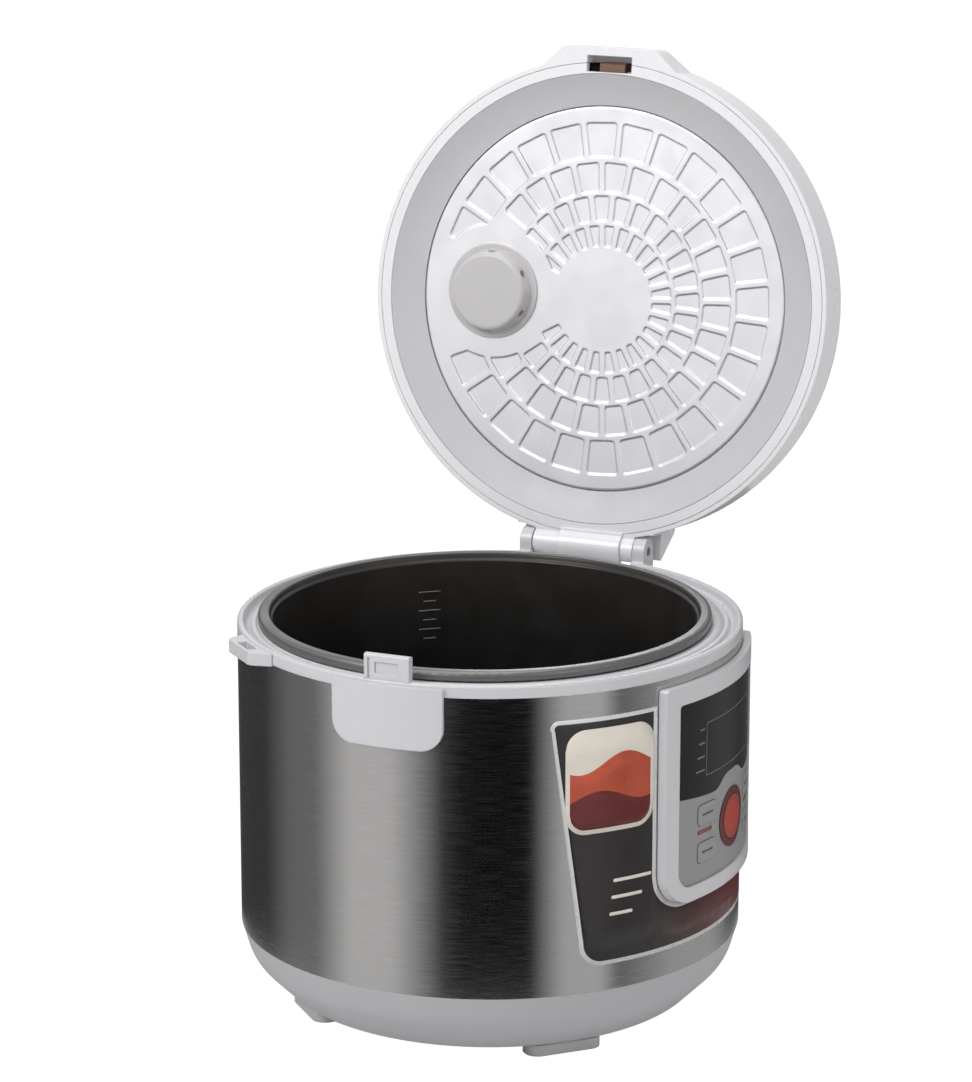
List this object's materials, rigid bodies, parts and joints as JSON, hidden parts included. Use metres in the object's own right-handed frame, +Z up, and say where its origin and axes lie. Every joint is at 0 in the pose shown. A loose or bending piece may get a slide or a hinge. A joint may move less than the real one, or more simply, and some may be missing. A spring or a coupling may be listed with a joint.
{
  "type": "multicooker",
  "caption": "Round electric multicooker with a steel body, hinged lid with embossed inner plate and steam valve, lift-out pot and a curved control panel.",
  "frame": {"origin": "on the floor, in the middle of the feet, under the body axis", "axes": "+Z up along the body axis, -Y towards the lid catch, +Y towards the hinge, +X towards the control panel"},
  "size_m": [0.2746, 0.3464, 0.4924],
  "materials": {
    "base_plastic": "light grey moulded plastic",
    "zinc_steel": "zinc plated steel",
    "foot_rubber": "light grey rubber",
    "brushed_band": "stainless sheet brushed round the body",
    "white_plastic": "white glossy moulded plastic",
    "sheet_aluminium": "drawn aluminium sheet",
    "cast_aluminium": "cast aluminium",
    "element_steel": "sheathed heating element",
    "ceramic_white": "ceramic sleeve",
    "spring_steel": "spring steel",
    "circuit_board": "green circuit board",
    "black_plastic": "black moulded plastic",
    "brass_pins": "plated brass",
    "panel_film": "printed panel film, black above and silver below",
    "display_glass": "dark display behind the film",
    "ring_red": "dark red trim ring",
    "start_red": "red push button",
    "pot_coating": "dark non-stick coating on aluminium",
    "key_silver": "silver grey film keys",
    "seal_silicone": "translucent white silicone",
    "pressed_aluminium": "pressed bright aluminium",
    "valve_plastic": "translucent white plastic",
    "bolt_brown": "brown plastic"
  },
  "bodies": {
    "cooker_body": {"base_bowl": "base_plastic", "board_components": "black_plastic", "bottom_cover": "base_plastic", "catch_tongue": "white_plastic", "control_board": "circuit_board", "cover_screws": "zinc_steel", "display_module": "display_glass", "foot_pads": "foot_rubber", "heater_posts": "zinc_steel", "heating_coil": "element_steel", "heating_plate": "cast_aluminium", "hinge_pin": "spring_steel", "hinge_springs": "spring_steel", "inlet_pins": "brass_pins", "key_switches": "black_plastic", "ladle_lug": "white_plastic", "panel_fascia": "panel_film", "panel_frame": "white_plastic", "power_board": "circuit_board", "power_inlet": "black_plastic", "sensor_holder": "sheet_aluminium", "sensor_spring": "spring_steel", "start_ring": "ring_red", "steel_band": "brushed_band", "thermal_fuse": "ceramic_white", "top_collar": "white_plastic", "well_liner": "sheet_aluminium"},
    "lid": {"lid_cover": "white_plastic", "rim_liner": "white_plastic", "lid_screws": "zinc_steel", "lid_seal": "seal_silicone", "inner_plate": "pressed_aluminium", "valve_inner_cap": "valve_plastic", "valve_grommet": "seal_silicone", "latch_spring": "spring_steel", "knuckle_cover": "white_plastic"},
    "inner_pot": {"inner_pot": "pot_coating"},
    "steam_vent": {"steam_vent": "white_plastic"},
    "release_button": {"release_button": "white_plastic"},
    "latch_bolt": {"latch_bolt": "bolt_brown"},
    "sensor": {"sensor_cup": "sheet_aluminium"},
    "start_button": {"start_button": "start_red"},
    "key_left_low": {"key_left_low": "key_silver"},
    "key_left_high": {"key_left_high": "key_silver"},
    "key_right_low": {"key_right_low": "key_silver"},
    "key_right_high": {"key_right_high": "key_silver"}
  },
  "joints": [
    {"name": "lid_hinge", "type": "hinge", "parent": "cooker_body", "child": "lid", "pos_m": [0, 0.1386, 0.215], "axis": [-1, 0, 0], "range_deg": [-97, 0], "stiffness_Nm_per_rad": 0.35, "springref_deg": 40.11},
    {"name": "pot_lift", "type": "slide", "parent": "cooker_body", "child": "inner_pot", "axis": [0, 0, 1], "range_m": [0, 0.18]},
    {"name": "steam_vent_pull", "type": "slide", "parent": "lid", "child": "steam_vent", "axis": [0, 0.9925, -0.1219], "range_m": [0, 0.045]},
    {"name": "button_press", "type": "slide", "parent": "lid", "child": "release_button", "axis": [0, -0.9925, 0.1219], "range_m": [0, 0.003], "stiffness_N_per_m": 600, "springref_m": -0.002},
    {"name": "bolt_draw", "type": "slide", "parent": "lid", "child": "latch_bolt", "axis": [0, -0.1219, -0.9925], "range_m": [0, 0.003], "deforming": ["latch_spring"]},
    {"name": "sensor_press", "type": "slide", "parent": "cooker_body", "child": "sensor", "axis": [0, 0, 1], "range_m": [-0.003, 0], "stiffness_N_per_m": 250, "springref_m": 0.004, "deforming": ["sensor_spring"]},
    {"name": "start_press", "type": "slide", "parent": "cooker_body", "child": "start_button", "axis": [-1, 0, 0], "range_m": [0, 0.001], "stiffness_N_per_m": 900, "springref_m": -0.001},
    {"name": "key_left_low_press", "type": "slide", "parent": "cooker_body", "child": "key_left_low", "axis": [-0.9774, 0.2113, 0], "range_m": [0, 0.0006], "stiffness_N_per_m": 1200, "springref_m": -0.001},
    {"name": "key_left_high_press", "type": "slide", "parent": "cooker_body", "child": "key_left_high", "axis": [-0.9774, 0.2113, 0], "range_m": [0, 0.0006], "stiffness_N_per_m": 1200, "springref_m": -0.001},
    {"name": "key_right_low_press", "type": "slide", "parent": "cooker_body", "child": "key_right_low", "axis": [-0.9774, -0.2113, 0], "range_m": [0, 0.0006], "stiffness_N_per_m": 1200, "springref_m": -0.001},
    {"name": "key_right_high_press", "type": "slide", "parent": "cooker_body", "child": "key_right_high", "axis": [-0.9774, -0.2113, 0], "range_m": [0, 0.0006], "stiffness_N_per_m": 1200, "springref_m": -0.001}
  ],
  "couplings": [
    {"joint": "bolt_draw", "follows": "button_press", "ratio": 1}
  ]
}
